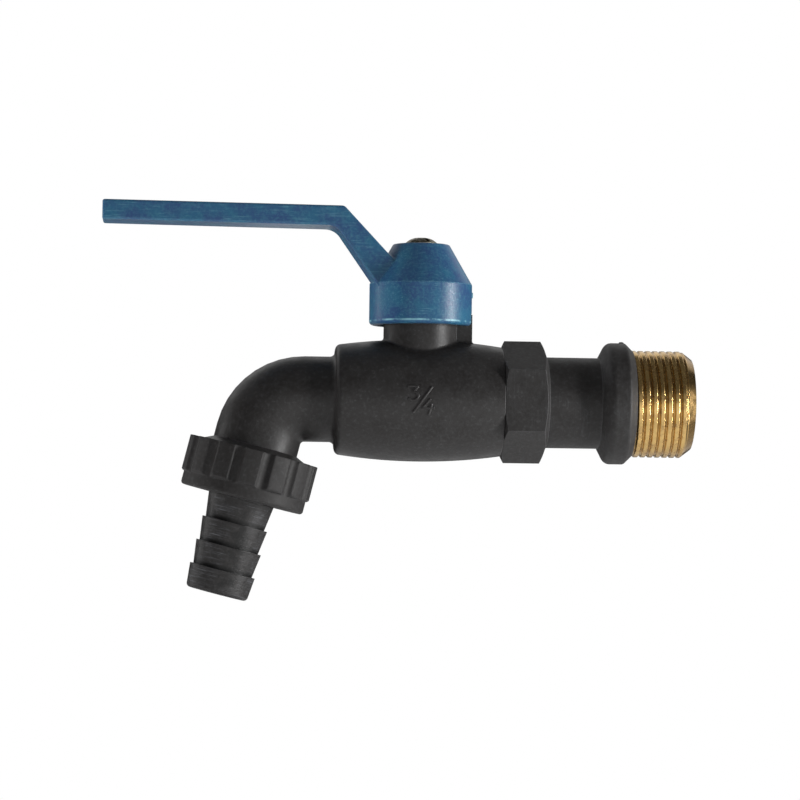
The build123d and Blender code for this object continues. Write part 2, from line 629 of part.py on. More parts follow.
os.makedirs("parts", exist_ok=True)
for name, piece in PIECES.items():
    export_step(piece, f"parts/{name}.step")
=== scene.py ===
import json
import math

import bpy
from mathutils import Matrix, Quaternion, Vector
from mathutils.bvhtree import BVHTree


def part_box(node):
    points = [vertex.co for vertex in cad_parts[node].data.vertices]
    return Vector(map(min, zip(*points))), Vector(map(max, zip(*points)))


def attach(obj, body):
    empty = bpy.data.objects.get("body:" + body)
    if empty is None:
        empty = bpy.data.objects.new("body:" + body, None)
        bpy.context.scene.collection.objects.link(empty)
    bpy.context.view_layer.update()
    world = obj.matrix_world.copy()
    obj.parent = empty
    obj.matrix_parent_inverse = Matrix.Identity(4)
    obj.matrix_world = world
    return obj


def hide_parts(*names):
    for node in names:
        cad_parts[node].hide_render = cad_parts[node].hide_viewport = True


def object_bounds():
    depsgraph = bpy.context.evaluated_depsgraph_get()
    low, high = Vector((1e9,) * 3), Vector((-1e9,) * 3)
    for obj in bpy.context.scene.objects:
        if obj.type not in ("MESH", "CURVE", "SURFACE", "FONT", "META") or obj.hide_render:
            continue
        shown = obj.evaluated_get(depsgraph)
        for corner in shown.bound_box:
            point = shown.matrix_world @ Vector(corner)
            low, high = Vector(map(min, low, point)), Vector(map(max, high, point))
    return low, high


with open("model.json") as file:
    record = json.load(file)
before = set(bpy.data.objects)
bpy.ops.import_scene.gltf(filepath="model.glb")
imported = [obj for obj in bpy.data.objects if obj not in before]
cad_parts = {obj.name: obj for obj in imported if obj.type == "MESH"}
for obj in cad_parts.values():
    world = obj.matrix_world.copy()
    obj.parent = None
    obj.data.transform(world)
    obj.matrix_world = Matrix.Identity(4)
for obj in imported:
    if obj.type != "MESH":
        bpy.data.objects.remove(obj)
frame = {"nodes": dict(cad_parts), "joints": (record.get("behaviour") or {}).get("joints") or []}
cad_low, cad_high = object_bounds()

MM = 0.001
TURN = 2 * math.pi

# Camera, as the photograph was taken: from the left, a little below the inlet axis; angles in degrees
IMAGE_WIDTH_PX = 800
SENSOR_WIDTH = 36.0
CAMERA_CLIP = (0.01, 50.0)
PX_PER_MM = 4.046
CAMERA_TARGET = Vector((-57.393, 0, 0.115)) * MM
CAMERA_DISTANCE = 0.8
CAMERA_YAW = 4.0
CAMERA_ELEVATION = -2.15
CAMERA_ROLL = 0.748

# Brass pipe thread, G 3/4, and the insert behind it
THREAD_PITCH = 1.814 * MM
THREAD_DEPTH = 0.50 * MM
THREAD_CREST_SHARE = 0.46
THREAD_ROOT_SHARE = 0.08
THREAD_CREST_X = 2.17 * MM
# Painted shade in the thread's roots: the radius where it starts, its fade and its share
THREAD_ROOT_SHADE_R = 12.98 * MM
THREAD_ROOT_SHADE_FADE = 0.4 * MM
THREAD_ROOT_SHADE_SHARE = 0.55
THREAD_CHAMFER = 2.5 * MM
THREAD_CHAMFER_DEPTH = 1.9 * MM
THREAD_STATIONS_PER_PITCH = 18
THREAD_COLUMNS = 192
THREAD_SHARP_ANGLE = 40
INSERT_BORE_R = 7.6 * MM
INSERT_LIP = 0.5 * MM
INSERT_SHANK_R = 9.4 * MM
INSERT_KEY_R = 11.7 * MM
INSERT_KEY_SIDES = 8
INSERT_KEY_FRONT_X = -2.9 * MM
INSERT_KEY_BACK_X = -5.5 * MM

# Outlet axis of the spout, where the union nut screws on
OUTLET_ORIGIN = Vector((-90.0, 0, 0)) * MM
OUTLET_AXIS = Vector(frame["joints"][1]["axis"]).normalized()

# Foot radius of the tail's barbs, and how far the painted shade at that foot starts and is full outside and
# inside that radius
BARB_FOOT_R = 7.4 * MM
FOOT_SHADE_OUTSIDE = (0.22 * MM, 0.06 * MM)
FOOT_SHADE_INSIDE = (0.15 * MM, 0.05 * MM)

# Ridge of the outlet thread: its ends along the axis, its steps in a turn and in its run-in at each end
OUTLET_THREAD_START = 14.3 * MM
OUTLET_THREAD_END = 19.0 * MM
OUTLET_THREAD_STEPS = 64
OUTLET_RUN_IN_STEPS = 16
OUTLET_FOOT_R = 13.10 * MM
OUTLET_CREST_R = 13.34 * MM
# Section of the ridge: place along the axis and radius
OUTLET_RIDGE = [
    (-0.48 * MM, OUTLET_FOOT_R),
    (-0.20 * MM, OUTLET_CREST_R),
    (0.20 * MM, OUTLET_CREST_R),
    (0.48 * MM, OUTLET_FOOT_R),
]

# Stub of flash on top of the collar: its place, its stretch along X and its outline of radius and height,
# both in millimetres
FLASH_PLACE = Vector((-2.5, 0, 14.98)) * MM
FLASH_STRETCH = 1.25
FLASH_OUTLINE = [(0.66, -0.35), (0.60, 0.04), (0.50, 0.12), (0.46, 0.26), (0.36, 0.34), (0.16, 0.38)]
FLASH_COLUMNS = 24

# Worn line round the foot of the handle's hub, partly a painted highlight of its rounded rim: its place
# above the lowest point and its half width
RIM_WEAR_AND_HIGHLIGHT_RISE = 0.9 * MM
RIM_WEAR_AND_HIGHLIGHT_CORE = 0.08 * MM
RIM_WEAR_AND_HIGHLIGHT_REACH = 0.32 * MM

# Parting line of the moulds: half width of its crest and of its foot
PARTING_CREST = 0.06 * MM
PARTING_FOOT = 0.22 * MM

# Edge finder: rays for each look at the edge, and how far the normals part on an open face and at an edge
EDGE_SAMPLES = 6
EDGE_OPEN_DOT = 0.995
EDGE_SHARP_DOT = 0.9

# Raised size mark on the barrel: strokes in millimetres, right and up from its centre
MARK_CENTRE = Vector((-53.3, 0, -0.3)) * MM
MARK_STROKE_R = 0.40 * MM
MARK_SINK = 0.14 * MM
MARK_ROUNDNESS = 3
MARK_STEP = 0.4
MARK_STROKES = [
    [
        (-3.1, 3.3), (-0.7, 3.3), (-1.8, 2.1), (-0.95, 1.65),
        (-0.6, 0.9), (-1.2, 0.05), (-2.2, -0.2), (-3.0, 0.35),
    ],
    [(2.7, 3.25), (-1.9, -3.1)],
    [(2.3, 0.25), (0.4, -1.9), (3.3, -1.9)],
    [(2.6, -0.9), (1.9, -3.6)],
]

# Floor under the tap: its height, its side and the distance over which it fades to white
FLOOR_Z = -0.30
FLOOR_SIZE = 8.0
FLOOR_FADE = (0.25, 1.0)

# Dark cards round the tap: half width, outline of front and top in Y and Z, back wall and half its gap
TENT_HALF_WIDTH = 0.62
TENT_PROFILE = [(-0.70, 0.035), (-0.36, 0.36), (0.30, 0.40)]
TENT_BACK_Y = 0.80
TENT_BACK_Z = 0.30
TENT_WING_INNER = 0.02

# Lamps: name, azimuth, elevation, distance, width, height, power, and whether gloss shows it
LAMPS = [
    ("key_low", 2, -37, 0.45, 0.56, 0.46, 0.34, True),
    ("band_front", 2, 14, 0.45, 0.60, 0.10, 0.07, True),
    ("strip_right", 68, -4, 0.45, 0.045, 0.30, 2.9, True),
    ("fill_left", -78, -4, 0.52, 0.30, 0.36, 2.3, False),
    ("strip_left", -112, 0, 0.45, 0.06, 0.30, 0.28, True),
    ("fill_top", 180, 68, 0.33, 0.50, 0.36, 0.75, False),
    ("fill_back", 180, 12, 0.60, 0.50, 0.40, 1.3, False),
]

# Colours, linear red, green and blue
BLACK_DEEP = (0.0155, 0.0142, 0.0138)
BLACK_SOFT = (0.0210, 0.0200, 0.0198)
BLACK_SPECK = (0.0250, 0.0242, 0.0242)
BLACK_WORN = (0.070, 0.070, 0.072)
BLACK_RUBBED = (0.085, 0.088, 0.096)
BLACK_GRIME = (0.009, 0.009, 0.009)
# Painted shade at the foot of the tail's barbs
BARB_FOOT_SHADE = (0.003, 0.003, 0.003)
BLUE_DEEP = (0.021, 0.057, 0.152)
BLUE_TEAL = (0.017, 0.094, 0.174)
BLUE_SPECK = (0.045, 0.160, 0.225)
# Wear on the handle, and the painted highlight of the line round the hub's foot
BLUE_WEAR_AND_HIGHLIGHT = (0.180, 0.390, 0.460)
BRASS_BRIGHT = (0.60, 0.40, 0.155)
BRASS_TARNISH = (0.30, 0.18, 0.085)
# Painted shade in the roots of the brass thread
BRASS_ROOT_SHADE = (0.15, 0.09, 0.04)
SCREW_BRIGHT = (0.44, 0.41, 0.32)
SCREW_DIRTY = (0.15, 0.14, 0.11)
CHROME_BRIGHT = (0.78, 0.78, 0.80)
CHROME_WIPED = (0.70, 0.70, 0.71)
SEAT_WHITE = (0.84, 0.84, 0.81)
SEAT_STAIN = (0.76, 0.75, 0.70)
RUBBER_DEEP = (0.012, 0.012, 0.012)
RUBBER_SOFT = (0.026, 0.026, 0.027)
FLOOR_PALE = (0.82, 0.82, 0.82)
CARD_DARK = (0.10, 0.10, 0.10)
WORLD_GREY = (0.42, 0.42, 0.44)
WORLD_WHITE = (1, 1, 1)


class Surface:
    """A material in the making: its shader and short forms of the nodes that feed it."""

    def __init__(self, name):
        self.material = bpy.data.materials.new(name)
        self.material.use_nodes = True
        self.nodes = self.material.node_tree.nodes
        self.links = self.material.node_tree.links
        self.shader = self.nodes["Principled BSDF"]
        self.place = self.nodes.new("ShaderNodeTexCoord").outputs["Object"]

    def feed(self, socket, value):
        """Sets a socket to a constant or links it to another socket."""
        if isinstance(value, bpy.types.NodeSocket):
            self.links.new(value, socket)
        else:
            socket.default_value = value

    def calc(self, operation, *values):
        """Result of a Math node."""
        node = self.nodes.new("ShaderNodeMath")
        node.operation = operation
        for socket, value in zip(node.inputs, values):
            self.feed(socket, value)
        return node.outputs[0]

    def stretch(self, along, across, axis=(1, 0, 0)):
        """Object place in units of grain size: along the axis and across it, both in millimetres."""
        turn = Vector(axis).rotation_difference(Vector((1, 0, 0)))
        node = self.nodes.new("ShaderNodeMapping")
        node.vector_type = "POINT"
        node.inputs["Rotation"].default_value = turn.to_euler()
        self.feed(node.inputs["Vector"], self.place)
        scale = self.nodes.new("ShaderNodeVectorMath")
        scale.operation = "MULTIPLY"
        self.feed(scale.inputs[0], node.outputs[0])
        scale.inputs[1].default_value = (1 / (along * MM), 1 / (across * MM), 1 / (across * MM))
        return scale.outputs[0]

    def noise(self, size=1.0, detail=3.0, roughness=0.55, place=None):
        """Noise of a grain size in millimetres, or on a stretched place."""
        node = self.nodes.new("ShaderNodeTexNoise")
        self.feed(node.inputs["Vector"], place or self.place)
        node.inputs["Scale"].default_value = 1.0 if place else 1 / (size * MM)
        node.inputs["Detail"].default_value = detail
        node.inputs["Roughness"].default_value = roughness
        return node.outputs["Fac"]

    def band(self, value, low, high, to_low=0.0, to_high=1.0):
        """Maps low..high smoothly to to_low..to_high."""
        node = self.nodes.new("ShaderNodeMapRange")
        node.interpolation_type = "SMOOTHSTEP"
        self.feed(node.inputs["Value"], value)
        node.inputs["From Min"].default_value = low
        node.inputs["From Max"].default_value = high
        node.inputs["To Min"].default_value = to_low
        node.inputs["To Max"].default_value = to_high
        return node.outputs["Result"]

    def blend(self, share, first, second):
        """Colour between two colours."""
        node = self.nodes.new("ShaderNodeMix")
        node.data_type = "RGBA"
        self.feed(node.inputs["Factor"], share)
        for socket, colour in ((node.inputs["A"], first), (node.inputs["B"], second)):
            self.feed(socket, colour if isinstance(colour, bpy.types.NodeSocket) else (*colour, 1))
        return node.outputs["Result"]

    def rounded(self, radius):
        """Normal that rolls over sharp edges, as a moulded edge does; radius in millimetres."""
        node = self.nodes.new("ShaderNodeBevel")
        node.samples = EDGE_SAMPLES
        node.inputs["Radius"].default_value = radius * MM
        return node.outputs["Normal"]

    def edge(self, rolled):
        """1 at sharp edges and 0 on open faces."""
        geometry = self.nodes.new("ShaderNodeNewGeometry")
        dot = self.nodes.new("ShaderNodeVectorMath")
        dot.operation = "DOT_PRODUCT"
        self.feed(dot.inputs[0], rolled)
        self.feed(dot.inputs[1], geometry.outputs["Normal"])
        return self.band(dot.outputs["Value"], EDGE_OPEN_DOT, EDGE_SHARP_DOT)

    def part(self, axis):
        """One coordinate of the object place."""
        node = self.nodes.new("ShaderNodeSeparateXYZ")
        self.feed(node.inputs[0], self.place)
        return node.outputs[axis]

    def reach(self, axis, centre):
        """Distance of the object place from an axis through a point."""
        offset = self.nodes.new("ShaderNodeVectorMath")
        offset.operation = "SUBTRACT"
        self.feed(offset.inputs[0], self.place)
        offset.inputs[1].default_value = centre
        across = self.nodes.new("ShaderNodeVectorMath")
        across.operation = "CROSS_PRODUCT"
        self.feed(across.inputs[0], offset.outputs[0])
        across.inputs[1].default_value = axis
        length = self.nodes.new("ShaderNodeVectorMath")
        length.operation = "LENGTH"
        self.feed(length.inputs[0], across.outputs[0])
        return length.outputs["Value"]

    def parting(self):
        """1 on the mould's parting line, in the plane of symmetry, and 0 off it."""
        return self.band(self.calc("ABSOLUTE", self.part("Y")), PARTING_FOOT, PARTING_CREST)

    def bump(self, height, depth, normal=None):
        """Normal bent by a height field; depth in millimetres."""
        node = self.nodes.new("ShaderNodeBump")
        node.inputs["Strength"].default_value = 1.0
        node.inputs["Distance"].default_value = depth * MM
        self.feed(node.inputs["Height"], height)
        if normal is not None:
            self.feed(node.inputs["Normal"], normal)
        return node.outputs["Normal"]

    def finish(self, **inputs):
        """Feeds the shader's inputs, named with _ for a space, and hands over the material."""
        for name, value in inputs.items():
            self.feed(self.shader.inputs[name.replace("_", " ")], value)
        return self.material


def black_plastic(name, edge_share=0.6, edge_r=0.3, streak_axis=None, streak_depth=0.0, streak_share=0.0,
                  gloss=(0.38, 0.52), foot_r=None):
    """Black moulded plastic: mottled, satin, scuffed at its edges.

    A streak axis adds tool marks round it, and a foot radius adds painted shade at the foot of the tail's
    barbs.
    """
    s = Surface(name)
    mottle = s.noise(5.0, 4.0, 0.6)
    speck = s.noise(0.9, 3.0, 0.6)
    grain = s.noise(0.28, 2.0, 0.5)
    rolled = s.rounded(edge_r)
    edge = s.edge(rolled)
    colour = s.blend(s.band(mottle, 0.35, 0.68), BLACK_DEEP, BLACK_SOFT)
    colour = s.blend(s.band(speck, 0.38, 0.72), colour, BLACK_SPECK)
    scuff = s.calc("MULTIPLY", s.band(speck, 0.56, 0.72), s.band(mottle, 0.40, 0.60))
    worn = s.calc("MAXIMUM", s.calc("MULTIPLY", scuff, 0.25), s.calc("MULTIPLY", edge, edge_share))
    colour = s.blend(worn, colour, BLACK_WORN)
    relief = s.calc("ADD", s.calc("MULTIPLY", grain, 0.35), s.calc("MULTIPLY", speck, 0.65))
    normal = s.bump(relief, 0.05, s.bump(s.parting(), 0.05, rolled))
    roughness = s.band(mottle, 0.3, 0.7, *gloss)
    if streak_axis is not None:
        streak = s.noise(detail=4.0, roughness=0.7, place=s.stretch(0.30, 6.0, streak_axis))
        normal = s.bump(streak, streak_depth, normal)
        rubbed = s.calc("MULTIPLY", s.band(streak, 0.50, 0.70), s.band(mottle, 0.42, 0.62))
        colour = s.blend(s.calc("MULTIPLY", rubbed, streak_share), colour, BLACK_RUBBED)
        grime = s.calc("MULTIPLY", s.band(mottle, 0.48, 0.38), streak_share)
        colour = s.blend(grime, colour, BLACK_GRIME)
    # Painted shade: a dark ring at the foot of each barb, where shade falls under the step above it
    if foot_r is not None:
        reach = s.reach(streak_axis, OUTLET_ORIGIN)
        inside = s.band(reach, foot_r + FOOT_SHADE_OUTSIDE[0], foot_r + FOOT_SHADE_OUTSIDE[1])
        outside = s.band(reach, foot_r - FOOT_SHADE_INSIDE[0], foot_r - FOOT_SHADE_INSIDE[1])
        colour = s.blend(s.calc("MULTIPLY", inside, outside), colour, BARB_FOOT_SHADE)
    return s.finish(Base_Color=colour, Roughness=roughness, Normal=normal, Specular_IOR_Level=0.29)


def blue_plastic():
    """Blue moulded plastic of the handle: semi-gloss, lightly scratched, paler on its edges, with a worn
    line round the hub's foot that is partly a painted highlight.
    """
    s = Surface("blue_moulded")
    mottle = s.noise(6.0, 4.0, 0.6)
    speck = s.noise(0.7, 3.0, 0.65)
    scratch = s.noise(detail=5.0, roughness=0.75, place=s.stretch(7.0, 0.30))
    rolled = s.rounded(0.6)
    edge = s.edge(rolled)
    colour = s.blend(s.band(mottle, 0.32, 0.70), BLUE_DEEP, BLUE_TEAL)
    colour = s.blend(s.calc("MULTIPLY", s.band(speck, 0.42, 0.70), 0.45), colour, BLUE_SPECK)
    marks = s.calc("MULTIPLY", s.band(scratch, 0.54, 0.66), s.band(mottle, 0.38, 0.54))
    parting = s.parting()
    worn = s.calc("MAXIMUM", s.calc("MULTIPLY", marks, 0.26), s.calc("MULTIPLY", edge, 0.8))
    worn = s.calc("MAXIMUM", worn, s.calc("MULTIPLY", parting, 0.35))
    # Worn line round the hub's foot, partly a painted highlight where its rounded rim catches light
    from_rim = s.calc("ABSOLUTE", s.calc("SUBTRACT", s.part("Z"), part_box("handle")[0].z + RIM_WEAR_AND_HIGHLIGHT_RISE))
    rim = s.band(from_rim, RIM_WEAR_AND_HIGHLIGHT_REACH, RIM_WEAR_AND_HIGHLIGHT_CORE)
    rim = s.calc("MULTIPLY", rim, s.band(s.noise(2.5, 3.0, 0.6), 0.38, 0.62))
    worn = s.calc("MAXIMUM", worn, rim)
    colour = s.blend(worn, colour, BLUE_WEAR_AND_HIGHLIGHT)
    roughness = s.band(speck, 0.3, 0.7, 0.31, 0.42)
    relief = s.calc("ADD", s.calc("MULTIPLY", scratch, 0.5), s.calc("MULTIPLY", speck, 0.5))
    normal = s.bump(relief, 0.05, s.bump(parting, 0.06, rolled))
    return s.finish(Base_Color=colour, Roughness=roughness, Normal=normal, Specular_IOR_Level=0.34)


def brass(name, axis, root_r=None):
    """Turned brass with fine tool marks round its axis, a brown tarnish and painted shade in the thread's
    roots, below a root radius.
    """
    s = Surface(name)
    tarnish = s.noise(2.2, 5.0, 0.65)
    tool = s.noise(detail=4.0, roughness=0.7, place=s.stretch(0.10, 3.0, axis))
    colour = s.blend(s.band(tarnish, 0.44, 0.80), BRASS_BRIGHT, BRASS_TARNISH)
    if root_r is not None:
        # Painted shade: the thread's roots darkened, where shade falls between the crests
        root_shade = s.band(s.reach(axis, (0, 0, 0)), root_r, root_r - THREAD_ROOT_SHADE_FADE, 0.0, THREAD_ROOT_SHADE_SHARE)
        colour = s.blend(root_shade, colour, BRASS_ROOT_SHADE)
    roughness = s.band(tarnish, 0.3, 0.75, 0.19, 0.32)
    normal = s.bump(tool, 0.008)
    return s.finish(Base_Color=colour, Metallic=1.0, Roughness=roughness, Normal=normal)


def screw_metal():
    """Yellow passivated steel with dirty patches."""
    s = Surface("screw_passivated")
    patch = s.noise(1.3, 4.0, 0.65)
    rolled = s.rounded(0.15)
    colour = s.blend(s.band(patch, 0.36, 0.58), SCREW_BRIGHT, SCREW_DIRTY)
    roughness = s.band(patch, 0.35, 0.7, 0.40, 0.60)
    normal = s.bump(s.noise(0.2, 2.0), 0.02, rolled)
    return s.finish(Base_Color=colour, Metallic=1.0, Roughness=roughness, Normal=normal)


def chrome():
    """Polished chrome of the ball, with faint wipe marks."""
    s = Surface("chrome_polished")
    wipe = s.noise(detail=4.0, roughness=0.7, place=s.stretch(0.2, 5.0, (0, 0, 1)))
    tint = s.blend(s.band(wipe, 0.3, 0.7), CHROME_BRIGHT, CHROME_WIPED)
    return s.finish(Base_Color=tint, Metallic=1.0, Roughness=s.band(wipe, 0.3, 0.7, 0.05, 0.14))


def white_seat():
    """Turned white seat plastic with fine lathe rings."""
    s = Surface("seat_turned")
    lathe = s.noise(detail=3.0, roughness=0.6, place=s.stretch(0.12, 8.0))
    stain = s.noise(2.0, 3.0)
    colour = s.blend(s.band(stain, 0.4, 0.8), SEAT_WHITE, SEAT_STAIN)
    return s.finish(Base_Color=colour, Roughness=0.5, Normal=s.bump(lathe, 0.02))


def rubber():
    """Black seal rubber with a dull, fine grain."""
    s = Surface("rubber_moulded")
    grain = s.noise(0.25, 3.0, 0.6)
    colour = s.blend(s.band(grain, 0.3, 0.7), RUBBER_DEEP, RUBBER_SOFT)
    roughness = s.band(grain, 0.3, 0.7, 0.62, 0.8)
    return s.finish(Base_Color=colour, Roughness=roughness, Normal=s.bump(grain, 0.03))


def make_mesh(name, points, faces, material, body, smooth=True):
    """A shown piece from points and faces, riding on a body."""
    mesh = bpy.data.meshes.new(name)
    mesh.from_pydata(points, [], faces)
    mesh.update()
    mesh.materials.append(material)
    piece = bpy.data.objects.new(name, mesh)
    bpy.context.scene.collection.objects.link(piece)
    mesh.polygons.foreach_set("use_smooth", [smooth] * len(mesh.polygons))
    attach(piece, body)
    return piece


def thread_shape(phase):
    """Depth share of the thread at a phase of its pitch: 0 on the crest, 1 in the root."""
    from_crest = 1 - abs(2 * (phase % 1.0) - 1)
    flank = 1 - THREAD_CREST_SHARE - THREAD_ROOT_SHARE
    ramp = min(1.0, max(0.0, (from_crest - THREAD_CREST_SHARE) / flank))
    return 0.5 * ramp + 0.5 * ramp * ramp * (3 - 2 * ramp)


def make_inlet_thread(material):
    """Brass insert with a real right-hand helix, as one closed grid round the inlet axis."""
    low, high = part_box("inlet_thread")
    tip, back, crest_r = high.x, low.x, (high.z - low.z) / 2
    key_apothem = math.cos(math.pi / INSERT_KEY_SIDES)

    def threaded(x, angle):
        phase = (x - THREAD_CREST_X) / THREAD_PITCH - (angle + math.pi / 2) / TURN
        radius = crest_r - THREAD_DEPTH * thread_shape(phase + 0.5)
        into_chamfer = max(0.0, x - (tip - THREAD_CHAMFER)) / THREAD_CHAMFER
        return min(radius, crest_r - THREAD_CHAMFER_DEPTH * into_chamfer)

    def keyed(x, angle):
        sector = TURN / INSERT_KEY_SIDES
        return INSERT_KEY_R * key_apothem / math.cos(angle % sector - sector / 2)

    def plain(radius):
        return lambda x, angle: radius

    steps = round(tip / THREAD_PITCH * THREAD_STATIONS_PER_PITCH)
    loop = [
        (back, plain(INSERT_BORE_R)),
        (tip - INSERT_LIP, plain(INSERT_BORE_R)),
        (tip, plain(INSERT_BORE_R + INSERT_LIP)),
    ]
    loop += [(tip * (steps - i) / steps, threaded) for i in range(steps + 1)]
    loop += [
        (0, plain(INSERT_SHANK_R)),
        (INSERT_KEY_FRONT_X, plain(INSERT_SHANK_R)),
        (INSERT_KEY_FRONT_X, keyed),
        (INSERT_KEY_BACK_X, keyed),
        (INSERT_KEY_BACK_X, plain(INSERT_SHANK_R)),
        (back, plain(INSERT_SHANK_R)),
    ]
    points = []
    for x, radius_at in loop:
        for i in range(THREAD_COLUMNS):
            angle = TURN * i / THREAD_COLUMNS
            radius = radius_at(x, angle)
            points.append((x, radius * math.cos(angle), radius * math.sin(angle)))
    faces = []
    for row in range(len(loop)):
        this, following = row * THREAD_COLUMNS, (row + 1) % len(loop) * THREAD_COLUMNS
        for i in range(THREAD_COLUMNS):
            j = (i + 1) % THREAD_COLUMNS
            faces.append((this + i, this + j, following + j, following + i))
    piece = make_mesh("inlet_thread_helix", points, faces, material, "tap")
    piece.data.set_sharp_from_angle(angle=math.radians(THREAD_SHARP_ANGLE))
    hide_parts("inlet_thread")


def make_outlet_thread(material):
    """Shallow right-hand thread on the spout's outlet, seen when the nut is unscrewed."""
    side = Vector((0, 1, 0))
    across = OUTLET_AXIS.cross(side)
    turns = (OUTLET_THREAD_END - OUTLET_THREAD_START) / THREAD_PITCH
    steps = round(turns * OUTLET_THREAD_STEPS)
    points = []
    for i in range(steps + 1):
        angle = turns * TURN * i / steps
        station = OUTLET_THREAD_START + THREAD_PITCH * angle / TURN
        rise = min(1.0, i / OUTLET_RUN_IN_STEPS, (steps - i) / OUTLET_RUN_IN_STEPS)
        outwards = side * math.cos(angle) + across * math.sin(angle)
        for along, radius in OUTLET_RIDGE:
            height = OUTLET_FOOT_R + (radius - OUTLET_FOOT_R) * rise
            points.append(OUTLET_ORIGIN + OUTLET_AXIS * (station + along) + outwards * height)
    count = len(OUTLET_RIDGE)
    faces = [tuple(range(count)), tuple(range(steps * count + count - 1, steps * count - 1, -1))]
    for i in range(steps):
        for j in range(count):
            k = (j + 1) % count
            faces.append((i * count + j, (i + 1) * count + j, (i + 1) * count + k, i * count + k))
    make_mesh("outlet_thread_ridge", points, faces, material, "tap", smooth=False)


def make_flash(material):
    """Stub of flash left on top of the collar."""
    points = []
    for radius, height in FLASH_OUTLINE:
        for i in range(FLASH_COLUMNS):
            angle = TURN * i / FLASH_COLUMNS
            offset = Vector((FLASH_STRETCH * radius * math.cos(angle), radius * math.sin(angle), height))
            points.append(FLASH_PLACE + offset * MM)
    last = len(points) - FLASH_COLUMNS
    faces = [tuple(reversed(range(FLASH_COLUMNS))), tuple(range(last, last + FLASH_COLUMNS))]
    for row in range(len(FLASH_OUTLINE) - 1):
        for i in range(FLASH_COLUMNS):
            j = (i + 1) % FLASH_COLUMNS
            this, above = row * FLASH_COLUMNS, (row + 1) * FLASH_COLUMNS
            faces.append((this + i, this + j, above + j, above + i))
    make_mesh("collar_flash", points, faces, material, "tap")


def surface_under(tree, x, z):
    """Point and normal of the camera side of a surface at a given x and z."""
    point, normal, _, _ = tree.ray_cast(Vector((x, cad_low.y * 2, z)), Vector((0, 1, 0)))
    return point, normal


def make_size_mark(material):
    """Raised strokes of the pipe size, laid on the barrel."""
    body = frame["nodes"]["body"]
    tree = BVHTree.FromPolygons([v.co for v in body.data.vertices], [p.vertices for p in body.data.polygons])
    curve = bpy.data.curves.new("size_mark_strokes", "CURVE")
    curve.dimensions = "3D"
    curve.bevel_depth = MARK_STROKE_R
    curve.bevel_resolution = MARK_ROUNDNESS
    curve.use_fill_caps = True
    for stroke in MARK_STROKES:
        path = []
        for (x0, z0), (x1, z1) in zip(stroke, stroke[1:]):
            count = max(2, round(math.hypot(x1 - x0, z1 - z0) / MARK_STEP))
            path += [(x0 + (x1 - x0) * i / count, z0 + (z1 - z0) * i / count) for i in range(count)]
        path.append(stroke[-1])
        spline = curve.splines.new("POLY")
        spline.points.add(len(path) - 1)
        for target, (right, up) in zip(spline.points, path):
            point, normal = surface_under(tree, MARK_CENTRE.x + right * MM, MARK_CENTRE.z + up * MM)
            target.co = (*(point - normal * MARK_SINK), 1)
    guide = bpy.data.objects.new("size_mark_guide", curve)
    bpy.context.scene.collection.objects.link(guide)
    mesh = bpy.data.meshes.new_from_object(guide.evaluated_get(bpy.context.evaluated_depsgraph_get()))
    bpy.data.objects.remove(guide)
    mesh.materials.append(material)
    mesh.polygons.foreach_set("use_smooth", [True] * len(mesh.polygons))
    piece = bpy.data.objects.new("size_mark", mesh)
    bpy.context.scene.collection.objects.link(piece)
    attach(piece, "tap")


def dress():
    """Gives every CAD node its material and adds the pieces that only the looks need."""
    inlet_axis, stem_axis = (1, 0, 0), (0, 0, 1)
    body_plastic = black_plastic("black_body")
    finishes = {
        "body": body_plastic,
        "inlet_connector": black_plastic(
            "black_connector", edge_share=0.9, streak_axis=inlet_axis, streak_depth=0.022, streak_share=0.15,
            gloss=(0.48, 0.62),
        ),
        "union_nut": black_plastic("black_nut", edge_share=0.25, edge_r=0.7, gloss=(0.55, 0.68)),
        "hose_tail": black_plastic(
            "black_tail", streak_axis=tuple(OUTLET_AXIS), streak_depth=0.09, streak_share=0.85,
            foot_r=BARB_FOOT_R,
        ),
        "handle": blue_plastic(),
        "handle_screw": screw_metal(),
        "stem": brass("brass_stem", stem_axis),
        "ball": chrome(),
    }
    seat, seal = white_seat(), rubber()
    for name in ("inlet_seat", "outlet_seat", "stem_thrust_washer"):
        finishes[name] = seat
    for name in ("connector_seal", "inlet_seat_cushion", "outlet_seat_cushion", "lower_stem_seal",
                 "upper_stem_seal", "hose_washer"):
        finishes[name] = seal
    for name, material in finishes.items():
        frame["nodes"][name].material_slots[0].material = material
    make_inlet_thread(brass("brass_thread", inlet_axis, THREAD_ROOT_SHADE_R))
    make_size_mark(body_plastic)
    make_outlet_thread(body_plastic)
    make_flash(body_plastic)


def direction(azimuth, elevation):
    """Unit vector from the object to a point round it; azimuth 0 is in front, at -Y."""
    a, e = math.radians(azimuth), math.radians(elevation)
    return Vector((math.sin(a) * math.cos(e), -math.cos(a) * math.cos(e), math.sin(e)))


def make_camera():
    """Camera at the photograph's place, without shift or blur."""
    camera = bpy.data.objects.new("camera", bpy.data.cameras.new("camera"))
    bpy.context.scene.collection.objects.link(camera)
    back = direction(-CAMERA_YAW, CAMERA_ELEVATION)
    camera.location = CAMERA_TARGET + back * CAMERA_DISTANCE
    roll = Quaternion((0, 0, 1), math.radians(CAMERA_ROLL))
    camera.rotation_mode = "QUATERNION"
    camera.rotation_quaternion = (-back).to_track_quat("-Z", "Y") @ roll
    camera.data.sensor_width = SENSOR_WIDTH
    camera.data.lens = SENSOR_WIDTH * CAMERA_DISTANCE / (IMAGE_WIDTH_PX / PX_PER_MM * MM)
    camera.data.clip_start, camera.data.clip_end = CAMERA_CLIP
    bpy.context.scene.camera = camera


